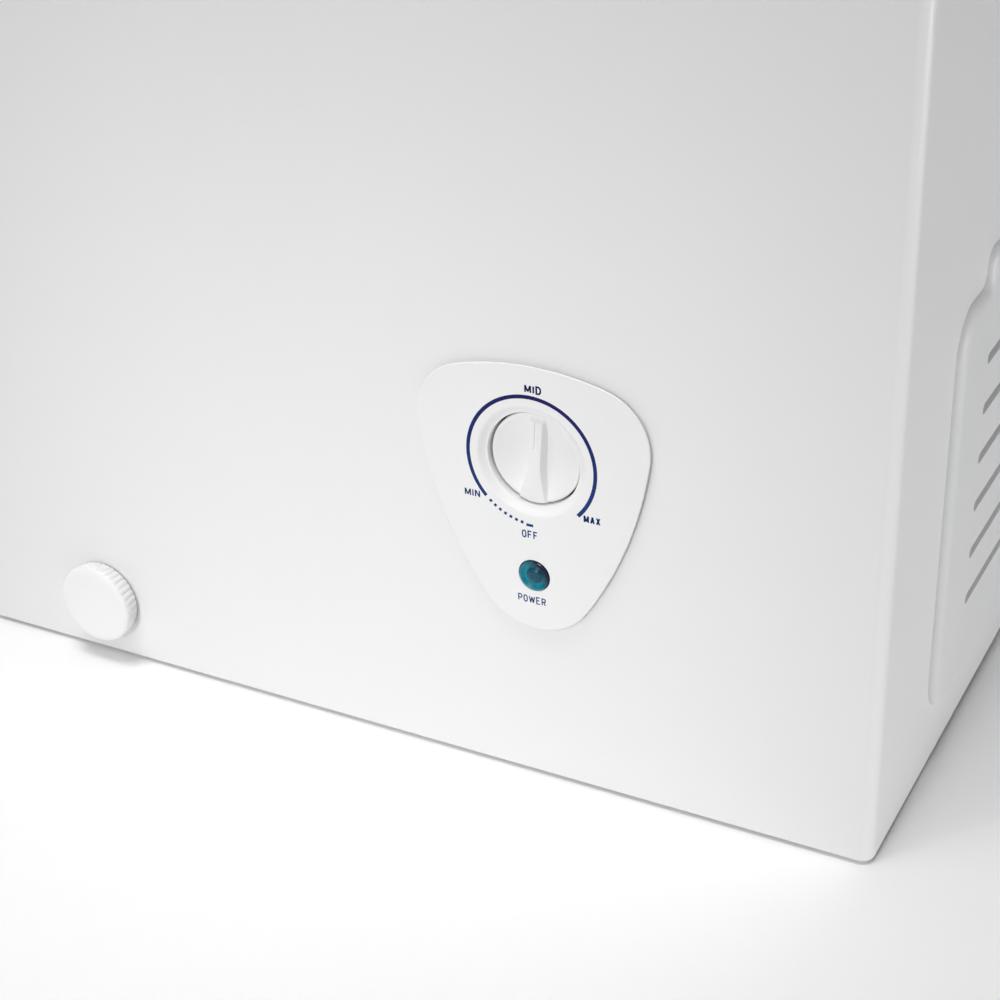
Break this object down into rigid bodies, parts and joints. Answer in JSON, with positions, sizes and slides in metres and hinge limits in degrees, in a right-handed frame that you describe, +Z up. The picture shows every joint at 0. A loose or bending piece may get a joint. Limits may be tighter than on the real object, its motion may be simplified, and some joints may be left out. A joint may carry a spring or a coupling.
{
  "type": "chest freezer",
  "caption": "White top-opening chest freezer with hinged lid, thermostat dial, front drain with screw cap, side vent and sliding wire basket.",
  "frame": {"origin": "middle of the footprint, on the floor", "axes": "+Z up, +X to the right as seen from the front, the front faces -Y"},
  "size_m": [0.815, 0.5734, 0.85],
  "materials": {
    "white_enamel": "satin",
    "galvanised_steel": "matte",
    "insulation_foam": "matte",
    "liner_sheet": "satin",
    "white_abs": "satin",
    "fascia_plastic": "satin",
    "cap_plastic": "satin",
    "grey_plastic": "matte",
    "black_plastic": "satin",
    "black_rubber": "matte",
    "gasket_vinyl": "matte",
    "copper_tube": "satin",
    "black_enamel": "satin",
    "zinc_plate": "satin",
    "teal_lens": "gloss",
    "cable_sleeve": "matte",
    "basket_coating": "satin"
  },
  "bodies": {
    "cabinet": {"outer_wrapper": "white_enamel", "rear_panel": "galvanised_steel", "base_pan": "galvanised_steel", "foam_insulation": "insulation_foam", "inner_liner": "liner_sheet", "top_frame": "white_abs", "evaporator_coil": "copper_tube", "condenser_coil": "copper_tube", "foot_front_left": "black_rubber", "foot_front_right": "black_rubber", "foot_rear_left": "black_rubber", "foot_rear_right": "black_rubber", "compressor_tray": "galvanised_steel", "compressor_shell": "black_enamel", "starter_cover": "black_plastic", "suction_tube": "copper_tube", "discharge_tube": "copper_tube", "filter_drier": "copper_tube", "capillary_tube": "copper_tube", "side_vent_cover": "white_abs", "vent_screw_front": "zinc_plate", "vent_screw_rear": "zinc_plate", "rear_grille": "galvanised_steel", "grille_screw_left": "zinc_plate", "grille_screw_right": "zinc_plate", "cord_gland": "black_plastic", "control_fascia": "fascia_plastic", "control_box": "grey_plastic", "thermostat_body": "grey_plastic", "sensing_tube": "copper_tube", "indicator_lens": "teal_lens", "indicator_lamp": "grey_plastic", "wiring_harness": "cable_sleeve", "drain_spout": "white_abs", "drain_pipe": "grey_plastic", "grommet_front_left": "black_rubber", "mount_bolt_front_left": "zinc_plate", "grommet_front_right": "black_rubber", "mount_bolt_front_right": "zinc_plate", "grommet_rear_left": "black_rubber", "mount_bolt_rear_left": "zinc_plate", "grommet_rear_right": "black_rubber", "mount_bolt_rear_right": "zinc_plate", "hinge_bracket_left": "zinc_plate", "hinge_pin_left": "zinc_plate", "hinge_bracket_right": "zinc_plate", "hinge_pin_right": "zinc_plate"},
    "lid": {"lid_outer": "white_enamel", "lid_foam": "insulation_foam", "lid_liner": "white_abs", "lid_gasket": "gasket_vinyl", "lid_handle": "white_abs", "hinge_arm_left": "zinc_plate", "hinge_arm_right": "zinc_plate"},
    "knob": {"thermostat_knob": "fascia_plastic", "thermostat_shaft": "zinc_plate"},
    "drain_washer_carrier": {"drain_washer": "black_rubber"},
    "drain_cap": {"drain_cap": "cap_plastic"},
    "drain_plug": {"drain_plug": "black_rubber"},
    "basket": {"basket": "basket_coating"}
  },
  "joints": [
    {"name": "lid_hinge", "type": "hinge", "parent": "cabinet", "child": "lid", "pos_m": [0, 0.27765, 0.785], "axis": [-1, 0, 0], "range_deg": [0, 80], "stiffness_Nm_per_rad": 3, "springref_deg": 80.21},
    {"name": "thermostat_turn", "type": "hinge", "parent": "cabinet", "child": "knob", "pos_m": [0.2473, -0.25615, 0.1626], "axis": [0, 1, 0], "range_deg": [-181.5, 129.5]},
    {"name": "drain_cap_travel", "type": "slide", "parent": "cabinet", "child": "drain_washer_carrier", "axis": [0, -1, 0], "range_m": [0, 0.0067]},
    {"name": "drain_cap_turn", "type": "hinge", "parent": "drain_washer_carrier", "child": "drain_cap", "pos_m": [0, -0.26335, 0.034], "axis": [0, -1, 0], "range_deg": [0, 1080]},
    {"name": "drain_plug_lift", "type": "slide", "parent": "cabinet", "child": "drain_plug", "axis": [0, 0, 1], "range_m": [0, 0.03]},
    {"name": "basket_slide", "type": "slide", "parent": "cabinet", "child": "basket", "axis": [-1, 0, 0], "range_m": [0, 0.352]}
  ],
  "couplings": [
    {"joint": "drain_cap_travel", "follows": "drain_cap_turn", "m_per_rad": 0.00035014}
  ]
}
